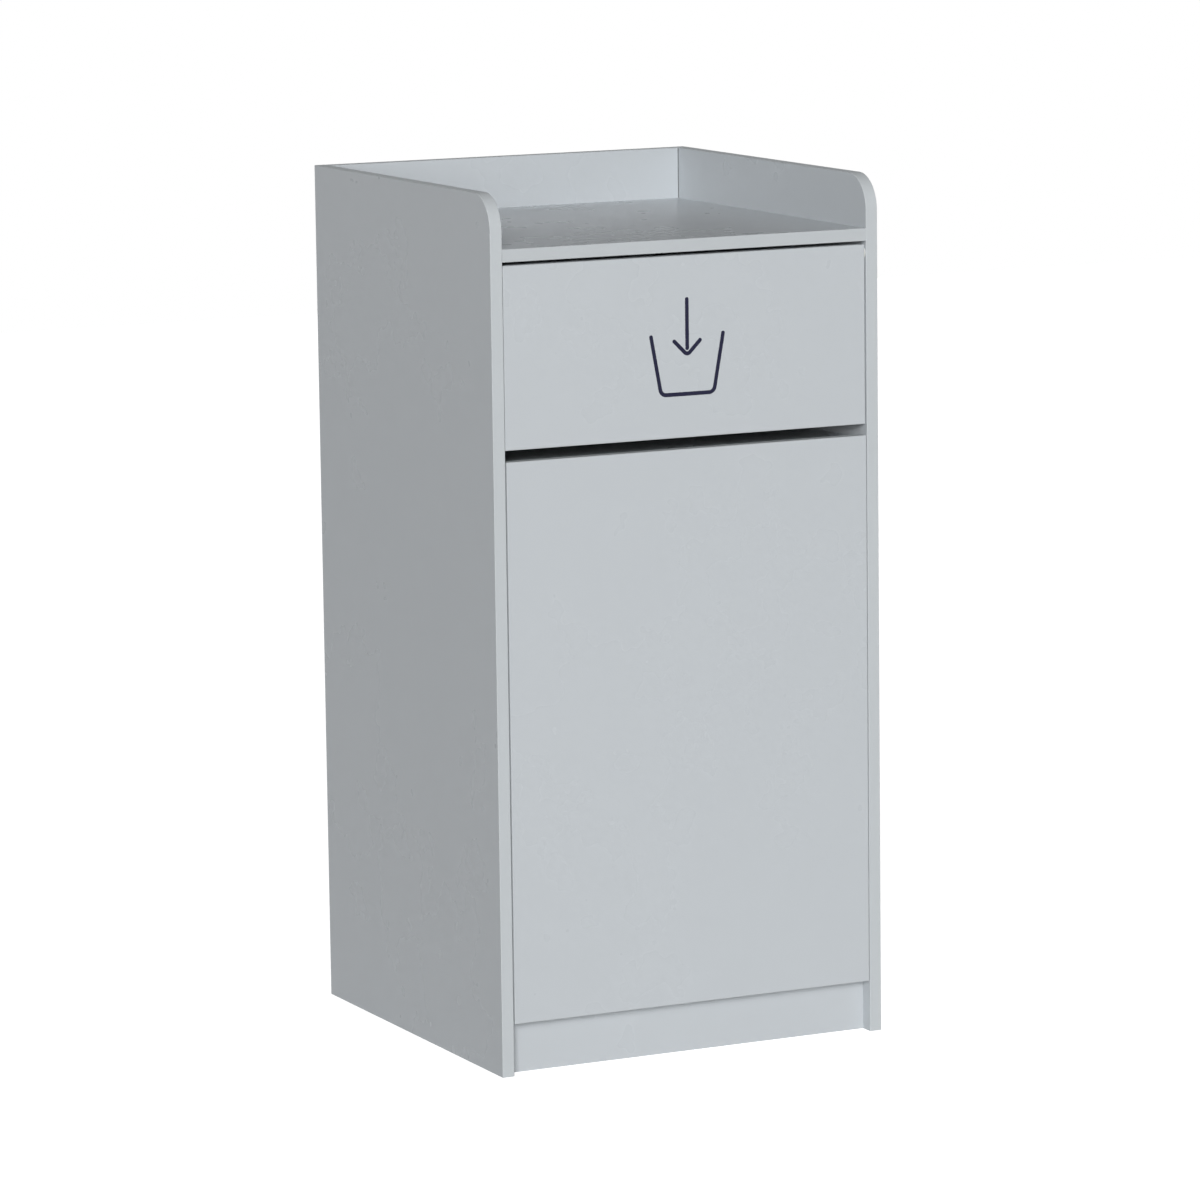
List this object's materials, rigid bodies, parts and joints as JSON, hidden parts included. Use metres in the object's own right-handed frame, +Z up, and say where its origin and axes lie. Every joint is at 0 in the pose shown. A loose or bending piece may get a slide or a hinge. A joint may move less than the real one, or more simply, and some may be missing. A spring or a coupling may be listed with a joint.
{
  "type": "tray top trash can",
  "caption": "Free-standing melamine waste cabinet with a walled tray top, a swinging push flap, a hinged front door and a rigid liner bin inside.",
  "frame": {"origin": "centre of the footprint, on the floor", "axes": "+Z up, front faces -Y, +X to the right when seen from the front"},
  "size_m": [0.6, 0.6, 1.23],
  "materials": {
    "melamine_board": "light blue-grey melamine facing, fine satin texture",
    "edge_band": "satin plastic edge band in the colour of the board",
    "zinc": "die-cast zinc",
    "bright_steel": "nickel plated steel",
    "beech": "plain turned beech",
    "nylon": "white nylon",
    "ferrite": "dark ferrite magnet",
    "bin_plastic": "moulded grey polyethylene"
  },
  "bodies": {
    "cabinet": {"left_side_panel": "melamine_board", "right_side_panel": "melamine_board", "back_panel": "melamine_board", "tray_shelf": "melamine_board", "bottom_deck": "melamine_board", "toe_kick": "melamine_board", "side_edge_bands": "edge_band", "tray_edge_band": "edge_band", "back_edge_band": "edge_band", "cam_locks": "zinc", "cam_bolts": "bright_steel", "dowels": "beech", "flap_bushes": "nylon", "hinge_plates": "bright_steel", "hinge_plate_screws": "bright_steel", "hinge_arms": "bright_steel", "hinge_arm_screws": "zinc", "catch_housing": "nylon", "catch_magnet": "ferrite", "catch_screws": "bright_steel", "waste_bin": "bin_plastic"},
    "door": {"door_panel": "melamine_board", "door_edge_bands": "edge_band", "hinge_cups": "bright_steel", "hinge_cup_screws": "bright_steel", "hinge_pins": "bright_steel", "strike_plate": "bright_steel", "strike_screw": "bright_steel"},
    "flap": {"flap_panel": "melamine_board", "flap_edge_bands": "edge_band", "flap_pins": "bright_steel"}
  },
  "joints": [
    {"name": "door_swing", "type": "hinge", "parent": "cabinet", "child": "door", "pos_m": [-0.26, -0.292, 0.468], "axis": [0, 0, -1], "range_deg": [0, 95]},
    {"name": "flap_swing", "type": "hinge", "parent": "cabinet", "child": "flap", "pos_m": [0, -0.289, 1.12], "axis": [1, 0, 0], "range_deg": [-88, 88]}
  ]
}
